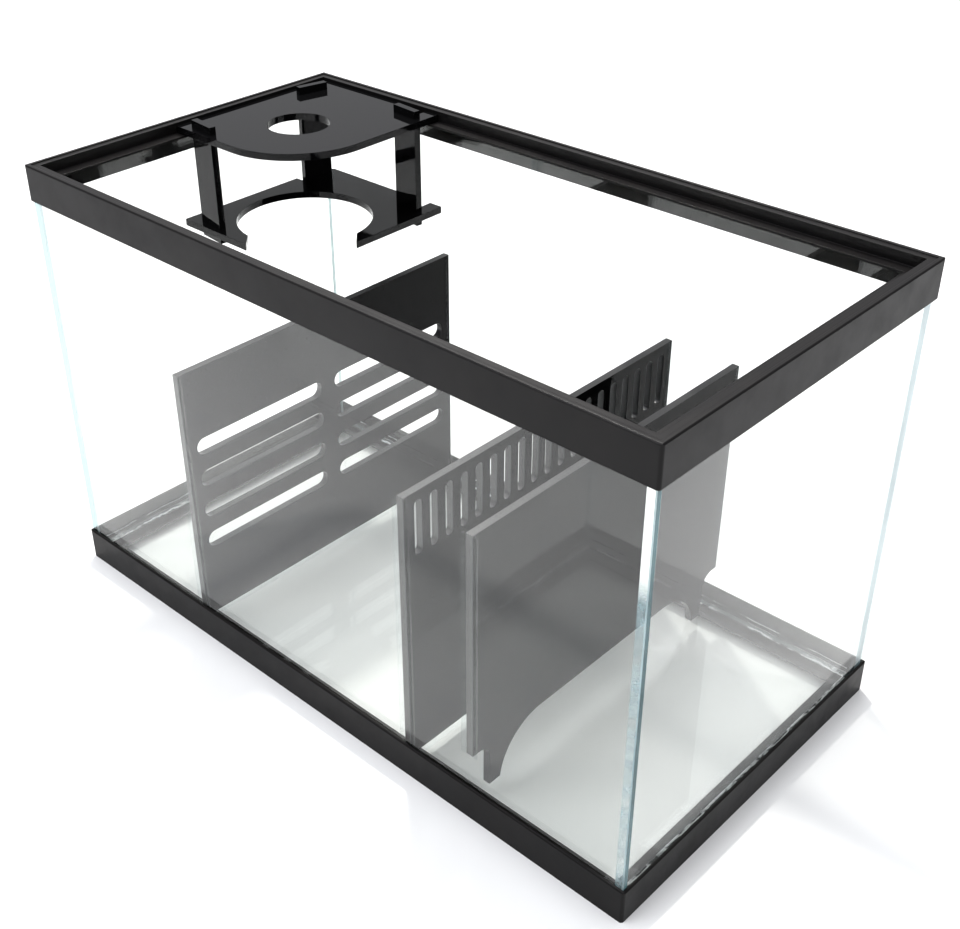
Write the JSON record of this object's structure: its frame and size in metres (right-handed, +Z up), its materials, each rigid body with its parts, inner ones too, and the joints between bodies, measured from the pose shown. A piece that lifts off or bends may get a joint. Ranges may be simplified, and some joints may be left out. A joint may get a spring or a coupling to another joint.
{
  "type": "glass sump filter tank",
  "caption": "Rimmed glass tank divided by slotted, comb and arched baffles, with a lift-out holder for a filter sock and its inlet pipe.",
  "frame": {"origin": "middle of the base, on the surface the tank stands on", "axes": "+X along the tank's length from the inlet end to the return end, +Y across the width to the back, +Z up"},
  "size_m": [0.5144, 0.2666, 0.3215],
  "materials": {
    "frame_plastic": "satin moulded black",
    "clear_glass": "clear with pale green edges",
    "clear_sealant": "clear soft sealant",
    "black_acrylic": "polished black sheet"
  },
  "bodies": {
    "tank": {"top_frame": "frame_plastic", "bottom_frame": "frame_plastic", "front_pane": "clear_glass", "back_pane": "clear_glass", "left_pane": "clear_glass", "right_pane": "clear_glass", "bottom_pane": "clear_glass", "corner_seal_front_left": "clear_sealant", "corner_seal_front_right": "clear_sealant", "corner_seal_back_left": "clear_sealant", "corner_seal_back_right": "clear_sealant", "floor_seal_front": "clear_sealant", "floor_seal_back": "clear_sealant", "floor_seal_left": "clear_sealant", "floor_seal_right": "clear_sealant", "slotted_baffle": "black_acrylic", "slotted_baffle_seal": "clear_sealant", "comb_baffle": "black_acrylic", "comb_baffle_seal": "clear_sealant", "arched_baffle": "black_acrylic", "arched_baffle_seal": "clear_sealant"},
    "sock_holder": {"holder_top_plate": "black_acrylic", "holder_lower_plate": "black_acrylic", "holder_front_post": "black_acrylic", "holder_back_post": "black_acrylic", "holder_side_post": "black_acrylic"}
  },
  "joints": [
    {"name": "holder_lift", "type": "slide", "parent": "tank", "child": "sock_holder", "axis": [0.1699, -0.1699, 0.9707], "range_m": [0, 0.1]}
  ]
}
